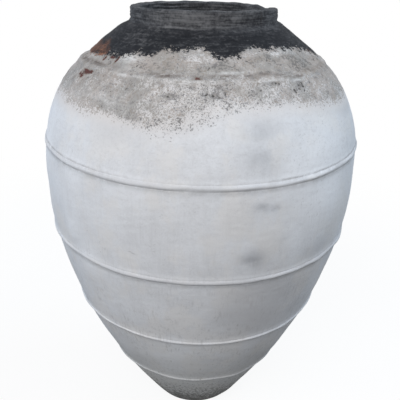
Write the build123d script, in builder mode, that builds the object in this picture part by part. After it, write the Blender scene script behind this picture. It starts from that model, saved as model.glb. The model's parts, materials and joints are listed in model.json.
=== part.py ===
"""A tall storage jar of fired clay, built up in courses.

The jar stands on +Z with its origin at the middle of the floor slab's underside. Each course of the
wall is a ring of clay that beds on the ring below with a keyed joint, and an applied band of clay
covers every joint outside. All sizes are in millimetres.
"""

import os
from collections import namedtuple

from build123d import *

# Floor slab: thickness, and the diameters of its underside and its upper edge
SLAB_RISE = 40
SLAB_FOOT_DIAMETER = 280
SLAB_TOP_DIAMETER = 339
SLAB_EDGE_RADIUS = 6

# Wall courses: rise, outer diameter at the upper joint, and how far the wall swells from a straight line
FOOT_RISE = 187
FOOT_TOP_DIAMETER = 559
FOOT_SWELL = 2.5

LOWER_RISE = 223
LOWER_TOP_DIAMETER = 763
LOWER_SWELL = 5

MIDDLE_RISE = 238
MIDDLE_TOP_DIAMETER = 890
MIDDLE_SWELL = 4.5

BELLY_RISE = 257
BELLY_TOP_DIAMETER = 902
BELLY_SWELL = 9

UPPER_RISE = 217
UPPER_TOP_DIAMETER = 679
UPPER_SWELL = 22

SHOULDER_RISE = 96
SHOULDER_SWELL = 1

# Wall thickness, measured square to the wall
WALL = 30

# Neck collar and rim coil: upright rings round the mouth, on a fillet that spreads over the shoulder
MOUTH_BORE_DIAMETER = 352
NECK_WALL = 27
NECK_RISE = 22
NECK_FILLET_RISE = 11
NECK_FILLET_REACH = 10
RIM_RISE = 17
RIM_OUTER_ROUNDING = 5
RIM_INNER_ROUNDING = 6

# Keyed joint: a tongue under each ring beds in a groove along the top of the ring below
KEY_WIDTH = 14
KEY_DEPTH = 7

# Applied bands: height along the wall, and how far they stand out from it. The two lowest are slighter.
BAND_HEIGHT = 16
BAND_PROUD = 5.5
LOW_BAND_HEIGHT = 12
LOW_BAND_PROUD = 4
SHOULDER_BAND_HEIGHT = 26
SHOULDER_BAND_PROUD = 5

# Coil that fills the corner between the floor and the wall
ANGLE_COIL_LEG = 34
ANGLE_COIL_HOLLOW = 4

# The shoulder ends where the neck's fillet ends, so its upper diameter follows from the mouth
BORE_RADIUS = MOUTH_BORE_DIAMETER / 2
NECK_RADIUS = BORE_RADIUS + NECK_WALL
SHOULDER_TOP_DIAMETER = 2 * (NECK_RADIUS + NECK_FILLET_REACH)

Course = namedtuple("Course", "name rise top_diameter swell")
COURSES = [
    Course("foot_course", FOOT_RISE, FOOT_TOP_DIAMETER, FOOT_SWELL),
    Course("lower_course", LOWER_RISE, LOWER_TOP_DIAMETER, LOWER_SWELL),
    Course("middle_course", MIDDLE_RISE, MIDDLE_TOP_DIAMETER, MIDDLE_SWELL),
    Course("belly_course", BELLY_RISE, BELLY_TOP_DIAMETER, BELLY_SWELL),
    Course("upper_course", UPPER_RISE, UPPER_TOP_DIAMETER, UPPER_SWELL),
    Course("shoulder_course", SHOULDER_RISE, SHOULDER_TOP_DIAMETER, SHOULDER_SWELL),
]

Band = namedtuple("Band", "name height proud")
BANDS = [
    Band("foot_band", LOW_BAND_HEIGHT, LOW_BAND_PROUD),
    Band("lower_band", LOW_BAND_HEIGHT, LOW_BAND_PROUD),
    Band("middle_band", BAND_HEIGHT, BAND_PROUD),
    Band("girth_band", BAND_HEIGHT, BAND_PROUD),
    Band("shoulder_band", SHOULDER_BAND_HEIGHT, SHOULDER_BAND_PROUD),
]

# Joints are counted from the floor: the first is on the slab and the last is under the neck
FIRST = 0
LAST = len(COURSES)


def turned_left(direction):
    """A direction in the section turned a quarter turn to its left, which is inwards for a rising wall."""
    return Vector(-direction.Y, direction.X)


def wall_slope(joint):
    """Unit direction of the outer wall at a joint, rising: the mean of the courses that meet there."""
    meeting = [outer_arcs[joint] % 0] if joint < LAST else []
    if joint > FIRST:
        meeting.append(outer_arcs[joint - 1] % 1)
    return sum(meeting, Vector()).normalized()


def inner_end(joint):
    """Where a joint reaches the inside of the wall, as a point of the section."""
    outer = outer_points[joint]
    rising = wall_slope(joint)
    square_in = outer + turned_left(rising) * WALL
    if joint == FIRST:
        # The floor is level, so the first joint runs level along it to the wall's inside.
        return Vector(square_in.X + (outer.Y - square_in.Y) * rising.X / rising.Y, outer.Y)
    if joint == LAST:
        # The shoulder's inside runs on up to the bore of the neck.
        return square_in + rising * ((BORE_RADIUS - square_in.X) / rising.X)
    return square_in


def keyed_joint(outer, inner):
    """The line of a joint across the wall, with the groove that keys the upper ring to the lower one."""
    across = (inner - outer).normalized()
    middle = (outer + inner) / 2
    half_key = across * (KEY_WIDTH / 2)
    return [outer, middle - half_key, middle + turned_left(across) * KEY_DEPTH, middle + half_key, inner]


def inner_middle(course):
    """The point on the inside of the wall that lies square to the middle of a course's outer arc."""
    arc = outer_arcs[course]
    return arc @ 0.5 + turned_left(arc % 0.5) * WALL


def corners_along(section, level):
    """The corners of a section along its lowest (0) or highest (-1) level, from the inside out."""
    return section.vertices().group_by(Axis.Y)[level].sort_by(Axis.X)


def finish(piece, name):
    """Names a finished piece and writes it to its own file."""
    piece.part.label = name
    export_step(piece.part, f"parts/{name}.step")


os.makedirs("parts", exist_ok=True)

# The section of the wall, drawn with X as the radius and Y as the height
joint_height = SLAB_RISE
outer_points = [Vector(SLAB_TOP_DIAMETER / 2, joint_height)]
for course in COURSES:
    joint_height += course.rise
    outer_points.append(Vector(course.top_diameter / 2, joint_height))

with BuildLine() as outer_wall:
    outer_arcs = [
        SagittaArc(outer_points[i], outer_points[i + 1], -course.swell)
        for i, course in enumerate(COURSES)
    ]

inner_points = [inner_end(joint) for joint in range(LAST + 1)]
joints = [keyed_joint(outer, inner) for outer, inner in zip(outer_points, inner_points)]

with BuildLine() as inner_wall:
    inner_arcs = [
        ThreePointArc(inner_points[i], inner_middle(i), inner_points[i + 1])
        for i in range(LAST)
    ]

neck_foot = outer_points[LAST]
rim_foot_height = neck_foot.Y + NECK_RISE
rim_joint = keyed_joint(Vector(NECK_RADIUS, rim_foot_height), Vector(BORE_RADIUS, rim_foot_height))
mouth_height = rim_foot_height + RIM_RISE

# Floor slab: a thick disc whose flared edge carries on the line of the wall
with BuildPart() as base_slab:
    with BuildSketch(Plane.XZ) as slab_section:
        with BuildLine():
            Polyline((0, SLAB_RISE), (0, 0), (SLAB_FOOT_DIAMETER / 2, 0), outer_points[FIRST])
            Polyline(*joints[FIRST], (0, SLAB_RISE))
        make_face()
        fillet(corners_along(slab_section, 0)[-1], SLAB_EDGE_RADIUS)
    revolve(axis=Axis.Z)
finish(base_slab, "base_slab")

# Coil in the corner between floor and wall: its face is slightly hollow, as a thumb leaves it
coil_on_wall = inner_arcs[FIRST].trim(0, ANGLE_COIL_LEG / inner_arcs[FIRST].length)
coil_toe = inner_points[FIRST] - Vector(ANGLE_COIL_LEG, 0)
with BuildPart() as floor_angle_coil:
    with BuildSketch(Plane.XZ):
        with BuildLine():
            add(coil_on_wall)
            Line(inner_points[FIRST], coil_toe)
            SagittaArc(coil_toe, coil_on_wall @ 1, -ANGLE_COIL_HOLLOW)
        make_face()
    revolve(axis=Axis.Z)
finish(floor_angle_coil, "floor_angle_coil")

# Wall courses: each is bounded by its own outer and inner arcs and by the joints below and above
for i, course in enumerate(COURSES):
    with BuildPart() as wall_course:
        with BuildSketch(Plane.XZ):
            with BuildLine():
                Polyline(*joints[i])
                add(inner_arcs[i])
                Polyline(*joints[i + 1])
                add(outer_arcs[i])
            make_face()
        revolve(axis=Axis.Z)
    finish(wall_course, course.name)

# Neck collar: an upright ring, with a hollow fillet of clay where it stands on the shoulder
fillet_top = Vector(NECK_RADIUS, neck_foot.Y + NECK_FILLET_RISE)
with BuildPart() as neck_collar:
    with BuildSketch(Plane.XZ):
        with BuildLine():
            Polyline(*joints[LAST])
            Line(inner_points[LAST], rim_joint[-1])
            Polyline(*rim_joint)
            Line(rim_joint[0], fillet_top)
            TangentArc(fillet_top, neck_foot, tangent=(0, -1))
        make_face()
    revolve(axis=Axis.Z)
finish(neck_collar, "neck_collar")

# Rim coil: flat on top, so that a lid can lie on it, and rounded at both edges
with BuildPart() as rim_coil:
    with BuildSketch(Plane.XZ) as rim_section:
        with BuildLine():
            Polyline(*rim_joint)
            Polyline(rim_joint[-1], (BORE_RADIUS, mouth_height), (NECK_RADIUS, mouth_height), rim_joint[0])
        make_face()
        fillet(corners_along(rim_section, -1)[0], RIM_INNER_ROUNDING)
        fillet(corners_along(rim_section, -1)[-1], RIM_OUTER_ROUNDING)
    revolve(axis=Axis.Z)
finish(rim_coil, "rim_coil")

# Applied bands: each lies on the courses above and below its joint and stands out in a round
for joint, band in enumerate(BANDS, start=FIRST + 1):
    below = outer_arcs[joint - 1]
    above = outer_arcs[joint]
    lower_share = 1 - band.height / 2 / below.length
    upper_share = band.height / 2 / above.length
    crest = outer_points[joint] - turned_left(wall_slope(joint)) * band.proud
    with BuildPart() as applied_band:
        with BuildSketch(Plane.XZ):
            with BuildLine():
                add(below.trim(lower_share, 1))
                add(above.trim(0, upper_share))
                ThreePointArc(above @ upper_share, crest, below @ lower_share)
            make_face()
        revolve(axis=Axis.Z)
    finish(applied_band, band.name)

bore_foot = inner_points[LAST].Y
bore_length = mouth_height - RIM_INNER_ROUNDING - bore_foot
rim_flat_inside = BORE_RADIUS + RIM_INNER_ROUNDING
rim_flat_outside = NECK_RADIUS - RIM_OUTER_ROUNDING
print(f"Overall height {mouth_height:.1f}")
print(f"Mouth bore of radius {BORE_RADIUS:.1f} from {bore_foot:.1f}, length {bore_length:.1f}")
print(f"Flat of the rim from {rim_flat_inside:.1f} to {rim_flat_outside:.1f}")
for joint, (outer, inner) in enumerate(zip(outer_points, inner_points)):
    print(f"Joint {joint}: outside at {outer.X:.1f}, {outer.Y:.1f}, inside at {inner.X:.1f}, {inner.Y:.1f}")
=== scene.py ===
# %% [markdown]
# # A tall banded storage jar
#
# The real object is an egg of coarse fired clay, as tall as a child of eight. It was coiled up in stages and
# left to stiffen between them. A clay band covers every joint, limewash covers the body, and a black wash
# covers the neck and shoulder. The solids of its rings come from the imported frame, and they never move. This
# notebook gives each ring the surface that a visitor sees: hand-made unevenness, wear, pits and finishes.

import json
import math
from collections import namedtuple

import bmesh
import bpy
import numpy as np
from mathutils import Matrix, Vector


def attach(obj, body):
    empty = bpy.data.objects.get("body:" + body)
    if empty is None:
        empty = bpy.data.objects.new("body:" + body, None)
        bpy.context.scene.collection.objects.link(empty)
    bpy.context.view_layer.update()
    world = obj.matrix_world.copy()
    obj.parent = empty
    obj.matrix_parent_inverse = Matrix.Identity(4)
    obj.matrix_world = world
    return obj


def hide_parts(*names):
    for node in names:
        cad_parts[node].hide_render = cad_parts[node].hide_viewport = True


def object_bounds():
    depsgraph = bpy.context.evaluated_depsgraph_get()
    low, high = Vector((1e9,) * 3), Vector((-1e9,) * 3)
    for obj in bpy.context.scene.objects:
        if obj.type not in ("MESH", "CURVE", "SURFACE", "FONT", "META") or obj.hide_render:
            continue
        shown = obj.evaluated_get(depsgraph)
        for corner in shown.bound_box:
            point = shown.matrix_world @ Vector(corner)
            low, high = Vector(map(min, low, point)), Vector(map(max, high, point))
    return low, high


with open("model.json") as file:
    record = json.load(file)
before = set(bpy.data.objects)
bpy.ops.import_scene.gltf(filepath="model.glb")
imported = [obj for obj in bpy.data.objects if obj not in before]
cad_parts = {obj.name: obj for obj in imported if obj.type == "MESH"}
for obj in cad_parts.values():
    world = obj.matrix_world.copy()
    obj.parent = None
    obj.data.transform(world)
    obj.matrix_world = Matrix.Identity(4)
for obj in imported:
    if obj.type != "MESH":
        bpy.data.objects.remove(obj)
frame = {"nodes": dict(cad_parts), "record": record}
cad_low, cad_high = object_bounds()
scene = bpy.context.scene
MM = 0.001
JAR_TOP = cad_high.z
print(f"{len(frame['nodes'])} nodes, {cad_high.x - cad_low.x:.3f} m wide and {JAR_TOP:.3f} m tall")

# %% [markdown]
# ## The camera
#
# The jar is seen from a standing person's chest, a step and a half away, looking down a little. A camera
# could be placed by eye and nudged. Here its numbers come from a fit of the outline and the bands to the
# picture, and the focal length stays in the picture's own pixels, because the fit gives it that way. The
# small turn stands in for a lens shift, so that other views stay centred.

# %% Camera
PICTURE_SIDE = 400
FOCAL_PIXELS = 546.7
SHIFT_PIXELS = 0.91
EYE = Vector((0.0, -1.587, 1.440))
LOOKS_DOWN = math.radians(24.70)
LEANS = math.radians(1.5)

camera = bpy.data.objects.new("standing_view", bpy.data.cameras.new("standing_view"))
scene.collection.objects.link(camera)
camera.data.lens = camera.data.sensor_width * FOCAL_PIXELS / PICTURE_SIDE
aim = Matrix.Rotation(-math.atan(SHIFT_PIXELS / FOCAL_PIXELS), 4, "Z")
aim @= Matrix.Rotation(math.pi / 2 - LOOKS_DOWN, 4, "X")
aim @= Matrix.Rotation(LEANS, 4, "Z")
camera.matrix_world = Matrix.Translation(EYE) @ aim
scene.camera = camera
scene.view_settings.view_transform = "Standard"
print(f"lens of {camera.data.lens:.1f} mm")

# %% [markdown]
# ## Sums in place of wires
#
# A finish is a sum of masks: this much wear here, that much dirt there. Node wires make such sums hard to
# read, so one small class stands for a socket, and Python's operators on it add Math nodes. Every other node
# comes from its one method `node`. Colours are mixed with Mix, because a Math node would turn them grey.

# %% A socket that can be used in sums
class Paint:
    """A socket of a node tree, which can be added, multiplied and masked like a number."""

    def __init__(self, tree, socket=None):
        self.tree = tree
        self.socket = socket

    def node(self, kind, settings=None, sockets=None, output=0):
        """Adds a node: its settings come first, and then the values or links of its sockets."""
        made = self.tree.nodes.new("ShaderNode" + kind)
        for name, value in (settings or {}).items():
            setattr(made, name, value)
        for name, value in (sockets or {}).items():
            if isinstance(value, Paint):
                self.tree.links.new(value.socket, made.inputs[name])
            else:
                made.inputs[name].default_value = value
        return Paint(self.tree, made.outputs[output] if made.outputs else None)

    def sum_of(self, operation, first, second):
        return self.node("Math", {"operation": operation}, {0: first, 1: second})

    def __add__(self, other):
        return self.sum_of("ADD", self, other)

    def __sub__(self, other):
        return self.sum_of("SUBTRACT", self, other)

    def __rsub__(self, other):
        return self.sum_of("SUBTRACT", other, self)

    def __mul__(self, other):
        return self.sum_of("MULTIPLY", self, other)

    def __or__(self, other):
        return self.sum_of("MAXIMUM", self, other)

    __radd__ = __add__
    __rmul__ = __mul__

    def between(self, low, high):
        """0 at low and 1 at high, held beyond them and smooth on the way."""
        return self.node("MapRange", {"interpolation_type": "SMOOTHSTEP"}, {0: self, 1: low, 2: high})

    def tint(self, under, over):
        """The colour under where this mask is 0, and the colour over where it is 1."""
        return self.node("Mix", {"data_type": "RGBA"}, {0: self, 6: under, 7: over}, output=2)

    def stretched(self, along_x, along_y, along_z):
        """This place with its three lengths multiplied, which stretches a pattern the other way."""
        lengths = (along_x, along_y, along_z)
        return self.node("VectorMath", {"operation": "MULTIPLY"}, {0: self, 1: lengths})

    def cloud(self, size, detail=4.0, roughness=0.55):
        """Soft noise at this place, from 0 to 1, with lumps of about this size in metres."""
        sockets = {0: self, "Scale": 1 / size, "Detail": detail, "Roughness": roughness}
        return self.node("TexNoise", None, sockets)

    def grains(self, size):
        """The distance to the nearest of scattered points, 0 at a point and near 1 between points."""
        return self.node("TexVoronoi", None, {0: self, "Scale": 1 / size})

    def height(self):
        """How high this place is above the ground."""
        return self.node("SeparateXYZ", None, {0: self}, output="Z")


def colour(red, green, blue):
    return (red, green, blue, 1.0)


WHITE = colour(1, 1, 1)
print("Paint is ready for sums of sockets")

# %% [markdown]
# ## Floor and light
#
# The picture shows the jar alone on white. A white floor that is lit to full white would throw light back up
# under the belly, which is dark in the picture. So the floor only looks white. Seen directly it mostly glows
# at a strength of 1, with enough lit paint left to keep the jar's shadow, and for all other light it is a
# dull grey. Further out it is all glow, so that no edge shows. The world behind it is done the same way.

# %% Floor
FLOOR_HALF = 40.0
FLOOR_GREY = colour(0.2, 0.2, 0.2)
FLOOR_LIT_SHARE = 0.11
SHADOW_REACH = (0.9, 2.6)
RAYS_TO_THE_EYE = ("Is Camera Ray", "Is Glossy Ray", "Is Transmission Ray")


def seen_directly(paint):
    """1 for what the camera sees, also in a gloss or through glass, and 0 for light on its way."""
    camera_ray, glossy_ray, clear_ray = [paint.node("LightPath", output=name) for name in RAYS_TO_THE_EYE]
    return camera_ray | glossy_ray | clear_ray


floor_paint = bpy.data.materials.new("pale_floor")
floor_paint.use_nodes = True
floor_paint.node_tree.nodes.clear()
ground = Paint(floor_paint.node_tree)
on_floor = ground.node("TexCoord", output="Object")
from_middle = ground.node("VectorMath", {"operation": "LENGTH"}, {0: on_floor}, output="Value")
floor_seen = seen_directly(ground)
lit_share = FLOOR_LIT_SHARE * (1 - from_middle.between(*SHADOW_REACH))
lit = ground.node("BsdfDiffuse", None, {"Color": floor_seen.tint(FLOOR_GREY, WHITE)})
glow = ground.node("Emission", None, {"Color": WHITE, "Strength": 1.0})
floor_mix = ground.node("MixShader", None, {0: floor_seen * (1 - lit_share), 1: lit, 2: glow})
ground.node("OutputMaterial", None, {"Surface": floor_mix})

floor_mesh = bpy.data.meshes.new("floor")
floor_corners = [(x * FLOOR_HALF, y * FLOOR_HALF, 0) for x, y in ((-1, -1), (1, -1), (1, 1), (-1, 1))]
floor_mesh.from_pydata(floor_corners, [], [(0, 1, 2, 3)])
floor_mesh.materials.append(floor_paint)
floor = bpy.data.objects.new("floor", floor_mesh)
scene.collection.objects.link(floor)
print(f"floor of {2 * FLOOR_HALF:.0f} m")

# %% [markdown]
# The jar stands under open sky with something dark at its feet: the front is lit from above the viewer's
# left shoulder, both sides get a bluer light, and little comes from below. A sky texture would be the quick
# way. Three soft panels over a dim sky are easier to balance, because each one lights a side of its own.

# %% Light
SKY_DIM = colour(0.285, 0.275, 0.275)
JAR_MIDDLE = Vector((0, 0, JAR_TOP / 2))
PANEL_DISTANCE = 6.0
PANEL_SIDE = 4.0

world = bpy.data.worlds.new("dim_sky")
world.use_nodes = True
world.node_tree.nodes.clear()
scene.world = world
sky = Paint(world.node_tree)
daylight = sky.node("Background", None, {"Color": SKY_DIM})
backdrop = sky.node("Background", None, {"Color": WHITE})
sky_mix = sky.node("MixShader", None, {0: seen_directly(sky), 1: daylight, 2: backdrop})
sky.node("OutputWorld", None, {"Surface": sky_mix})


def soft_panel(name, azimuth, elevation, power, tint):
    """A square lamp that faces the jar, at an azimuth that counts from the viewer's side to the right."""
    lamp = bpy.data.lights.new(name, "AREA")
    lamp.size = PANEL_SIDE
    lamp.energy = power
    lamp.color = tint
    turn = math.radians(azimuth)
    rise = math.radians(elevation)
    towards = Vector((math.cos(rise) * math.sin(turn), -math.cos(rise) * math.cos(turn), math.sin(rise)))
    panel = bpy.data.objects.new(name, lamp)
    panel.location = JAR_MIDDLE + PANEL_DISTANCE * towards
    panel.rotation_euler = towards.to_track_quat("Z", "Y").to_euler()
    scene.collection.objects.link(panel)
    print(f"{name}: {power:.0f} W")


soft_panel("over_the_shoulder", -22, 40, 248, (0.95, 0.97, 1.0))
soft_panel("left_sky", -112, 18, 96, (0.45, 0.70, 1.0))
soft_panel("right_sky", 102, 42, 196, (0.66, 0.83, 1.0))

# %% [markdown]
# ## Reading the rings
#
# Every piece of this jar is a ring or a disc about one upright axis. The CAD meshes could be copied and
# edited, but their faces are long flat strips, too coarse for pits and lumps. So each node of the frame is
# cut open with Blender's bisect, and the outline of the cut is all that its dressed mesh needs.

# %% Cutting a node open
WELD = 1e-6


def section_of(name):
    """The outline of a node on the +X side of its middle plane, counter-clockwise, as radius and height."""
    cut = bmesh.new()
    cut.from_mesh(frame["nodes"][name].data)
    bmesh.ops.remove_doubles(cut, verts=cut.verts, dist=WELD)
    everything = cut.verts[:] + cut.edges[:] + cut.faces[:]
    sliced = bmesh.ops.bisect_plane(cut, geom=everything, dist=WELD, plane_no=(0, 1, 0))
    beside = {}
    for edge in sliced["geom_cut"]:
        if isinstance(edge, bmesh.types.BMEdge) and min(vert.co.x for vert in edge.verts) > -WELD:
            for vert in edge.verts:
                beside.setdefault(vert, []).append(edge.other_vert(vert))
    ends = [vert for vert, near in beside.items() if len(near) == 1]
    walk = ends[:1] or list(beside)[:1]
    while onward := [vert for vert in beside[walk[-1]] if vert not in walk]:
        walk.append(onward[0])
    outline = [(vert.co.x, vert.co.z) for vert in walk]
    if ends:
        outline = [(0, outline[0][1]), *outline, (0, outline[-1][1])]
    cut.free()
    outline = np.array(outline)
    around = np.roll(outline, -1, axis=0)
    area = (outline[:, 0] * around[:, 1] - around[:, 0] * outline[:, 1]).sum()
    return outline if area > 0 else outline[::-1]


sections = {name: section_of(name) for name in frame["nodes"]}
print("points in each outline:", {name: len(outline) for name, outline in sections.items()})

# %% [markdown]
# The cut gives points on the true curve, joined by straight lines. A Subdivision modifier would smooth them,
# and would round the corners off as well. Instead, each outline is split at its corners, and a cubic line
# through its own points gives the curve back between them.

# %% Smooth lines through the outlines
CORNER = math.radians(20)
STEP_JUMP = 3.0


def stretches_of(outline):
    """Splits an outline at its corners, and where long steps meet short ones, into smooth stretches."""
    ahead = np.roll(outline, -1, axis=0) - outline
    behind = np.roll(ahead, 1, axis=0)
    crossed = behind[:, 0] * ahead[:, 1] - behind[:, 1] * ahead[:, 0]
    turn = np.abs(np.arctan2(crossed, (behind * ahead).sum(1)))
    jump = np.linalg.norm(ahead, axis=1) / np.linalg.norm(behind, axis=1)
    breaks = np.nonzero((turn > CORNER) | (np.maximum(jump, 1 / jump) > STEP_JUMP))[0]
    on_axis = [i for i in breaks if outline[i - 1, 0] < WELD and outline[i, 0] < WELD]
    start = on_axis[0] if on_axis else breaks[0]
    outline = np.roll(outline, -start, axis=0)
    marks = sorted((breaks - start) % len(outline)) + [len(outline)]
    outline = np.concatenate([outline, outline[:1]])
    found = [outline[a:b + 1] for a, b in zip(marks, marks[1:])]
    return [stretch for stretch in found if stretch[:, 0].max() > WELD]


def even_points(stretch, spacing):
    """Evenly spaced points on a cubic line through a stretch's own points."""
    steps = np.linalg.norm(np.diff(stretch, axis=0), axis=1)
    along = np.concatenate([[0], np.cumsum(steps)])
    wanted = np.linspace(0, along[-1], max(1, round(along[-1] / spacing)) + 1)
    slopes = np.gradient(stretch, along, axis=0, edge_order=2 if len(stretch) > 2 else 1)
    i = np.clip(np.searchsorted(along, wanted, side="right") - 1, 0, len(along) - 2)
    width = (along[i + 1] - along[i])[:, None]
    t = (wanted - along[i])[:, None] / width
    from_here = (1 + 2 * t) * (1 - t) ** 2 * stretch[i] + t * (1 - t) ** 2 * width * slopes[i]
    from_there = t ** 2 * (3 - 2 * t) * stretch[i + 1] - t ** 2 * (1 - t) * width * slopes[i + 1]
    return from_here + from_there


print("smooth stretches:", {name: len(stretches_of(outline)) for name, outline in sections.items()})

# %% [markdown]
# ## The wall as one line
#
# Wear and finishes care about one thing above all: where the outside of the wall is at a given height. Rays
# cast at the meshes would find it, but only on their flat strips. Here the smooth outlines of the wall's
# rings are cut at many levels, and the largest radius at each level is kept. The bands are left out of this,
# so a point's distance beyond the line says how far it stands proud on a band.

# %% The outside of the wall
LEVEL_STEP = 2 * MM
LINE_STEP = 1 * MM
bands = [name for name in sections if name.endswith("_band")]
wall_rings = [name for name in sections if name not in bands and name != "floor_angle_coil"]


def smooth_outline(name):
    """The outline of a node with close and even points."""
    smoothed = [even_points(stretch, LINE_STEP)[:-1] for stretch in stretches_of(sections[name])]
    return np.concatenate(smoothed)


def outermost(outline, levels):
    """The largest radius at which an outline crosses each level, or 0 where it doesn't."""
    onward = np.roll(outline, -1, axis=0)
    rise = onward[:, 1] - outline[:, 1]
    share = (levels[:, None] - outline[:, 1]) / np.where(np.abs(rise) < WELD, np.inf, rise)
    crosses = (share >= 0) & (share < 1) & (np.abs(rise) >= WELD)
    return np.where(crosses, outline[:, 0] + share * (onward[:, 0] - outline[:, 0]), 0).max(1)


levels = np.arange(LEVEL_STEP / 2, JAR_TOP, LEVEL_STEP)
wall_radius = np.max([outermost(smooth_outline(name), levels) for name in wall_rings], axis=0)
wall_lean = np.arctan(np.gradient(wall_radius, LEVEL_STEP))
print(f"wall radius from {wall_radius.min():.3f} to {wall_radius.max():.3f} m")

# %% [markdown]
# ## Unevenness made by hands
#
# A coiled wall is never a true circle. Each stage leans a little, the coils leave soft lumps, and the
# smoothing hand leaves faint marks that run round the jar. A Displace modifier with a noise texture could do
# this, but the rings have to keep fitting each other. So every ring is pushed by one field that depends on
# place alone: a sum of plane waves in random directions, which is smooth and has no grid.

# %% The field of small errors
WAVE_COUNT = 28
LENGTH_SPREAD = (0.75, 1.3)


def waves(places, length, seed):
    """A smooth random field over places, with a spread of 1 and bumps about this length apart in metres."""
    draw = np.random.default_rng(seed)
    heading = draw.normal(size=(WAVE_COUNT, 3))
    heading /= np.linalg.norm(heading, axis=1, keepdims=True)
    heading *= (2 * math.pi / length / draw.uniform(*LENGTH_SPREAD, WAVE_COUNT))[:, None]
    phase = draw.uniform(0, 2 * math.pi, WAVE_COUNT)
    return np.cos(places @ heading.T + phase).sum(1) * math.sqrt(2 / WAVE_COUNT)


def ramp(values, low, high):
    """0 below low, 1 above high, and smooth between."""
    share = np.clip((values - low) / (high - low), 0, 1)
    return share * share * (3 - 2 * share)


print(f"each field is a sum of {WAVE_COUNT} waves")

# %% [markdown]
# Each kind of unevenness has a size, a length from bump to bump, and a squash. With a squash of 1 its bumps
# are round. A larger one flattens them into marks that run round the jar, and with 0 they are the same at
# every height.

# %% What the hands left
Unevenness = namedtuple("Unevenness", "size length squash seed")
LEANING = Unevenness(0.8 * MM, 0.62, 1, 11)
COIL_LUMPS = Unevenness(0.5 * MM, 0.13, 1, 12)
FINGER_MARKS = Unevenness(0.09 * MM, 0.045, 3, 13)
TURNING_RIDGES = Unevenness(0.55 * MM, 0.075, 9, 14)
RIDGES_START = 1225 * MM
neck_outline = sections["neck_collar"]
NECK_FOOT = neck_outline[neck_outline[:, 0].argmax(), 1]


def uneven(places, kind):
    """One kind of unevenness at each place."""
    return kind.size * waves(places * (1, 1, kind.squash), kind.length, kind.seed)


def hand_wobble(places):
    """How far the wall strays outwards from its true line, in metres."""
    ridges = uneven(places, TURNING_RIDGES) * ramp(places[:, 2], RIDGES_START, NECK_FOOT)
    return uneven(places, LEANING) + uneven(places, COIL_LUMPS) + uneven(places, FINGER_MARKS) + ridges


front_line = np.stack([0 * levels, -wall_radius, levels], axis=1)
print(f"the front strays by up to {np.abs(hand_wobble(front_line)).max() / MM:.1f} mm")

# %% [markdown]
# ## Places round the jar
#
# What the weather and use have done is drawn as short lists of places: an azimuth in degrees and a height in
# millimetres. They could be painted on in Texture Paint, but that would make an image. Azimuth 0 faces the
# viewer, and the right hand side is positive. The front follows the picture, and the back is made up in the
# same manner. Between the listed places, values are joined by straight lines.

# %% Lower edge of the black wash, and the rim
BLACK_EDGE = [
    (-150, 1212), (-120, 1200), (-95, 1186), (-80, 1183), (-66, 1185), (-56, 1190), (-51, 1191), (-48, 1191),
    (-45, 1193), (-42, 1194), (-40, 1196), (-38, 1200), (-34, 1204), (-28, 1202), (-23, 1205), (-21, 1214),
    (-17, 1218), (-13, 1213), (-8, 1219), (-3, 1223), (2, 1220), (5, 1212), (7, 1205), (17, 1205),
    (20, 1214), (24, 1221), (28, 1224), (33, 1217), (44, 1219), (51, 1215), (61, 1210), (71, 1202),
    (75, 1193), (80, 1182), (95, 1178), (110, 1192), (130, 1216), (165, 1203),
]
RIM_HEIGHTS = [
    (-170, -2.5), (-150, -2), (-131, -0.5), (-105, -1), (-80, -0.5), (-57, 0.5), (-37, 2.5), (-19, 4.5),
    (0, 6), (30, 7), (44, 6.5), (47, 4), (62, 3.5), (80, 1), (90, 0), (96, -2), (101, -4), (108, -5),
    (113, -7), (117, -8.5), (127, -4), (137, -2.5), (147, -1.3), (168, -2),
]


def azimuth_of(places):
    return np.degrees(np.arctan2(places[:, 0], -places[:, 1]))


def along_list(places, listed):
    """The value of a list of (azimuth, value) at each place."""
    azimuths, values = np.transpose(listed)
    return np.interp(azimuth_of(places), azimuths, values, period=360)


edge_heights = [height for azimuth, height in BLACK_EDGE]
print(f"the black wash ends between {min(edge_heights)} and {max(edge_heights)} mm above the ground")

# %% [markdown]
# The limewash wears off from the shoulder down. At each azimuth a row of the list says where the wear ends,
# over what height it fades, how much chalk and how many dark grains are left above, and how far the dark
# grains reach down.

# %% Wear of the limewash
Wear = namedtuple("Wear", "azimuth lower_edge fade chalk soot grain_reach")
WEAR = [
    Wear(-150, 1080, 40, 0.36, 0.44, 30), Wear(-105, 1074, 44, 0.38, 0.46, 30),
    Wear(-70, 1078, 48, 0.43, 0.52, 24), Wear(-54, 1073, 40, 0.43, 0.53, 20),
    Wear(-38, 1074, 36, 0.43, 0.53, 30), Wear(-24, 1074, 36, 0.43, 0.53, 56),
    Wear(-19, 1071, 46, 0.46, 0.51, 80), Wear(-10, 1069, 54, 0.53, 0.53, 90),
    Wear(-2, 1084, 60, 0.55, 0.53, 86), Wear(6, 1106, 58, 0.54, 0.53, 70),
    Wear(20, 1110, 50, 0.50, 0.53, 60), Wear(30, 1108, 44, 0.48, 0.52, 54),
    Wear(42, 1098, 42, 0.47, 0.51, 48), Wear(60, 1085, 42, 0.43, 0.50, 40),
    Wear(100, 1080, 44, 0.36, 0.45, 30), Wear(140, 1100, 36, 0.33, 0.43, 30),
]
FADE_ABOVE = 0.6
GRAIN_RISE = 45
LOST_ABOVE_BAND = 0.1
BAND_TOP = (1160, 1180)


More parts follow.
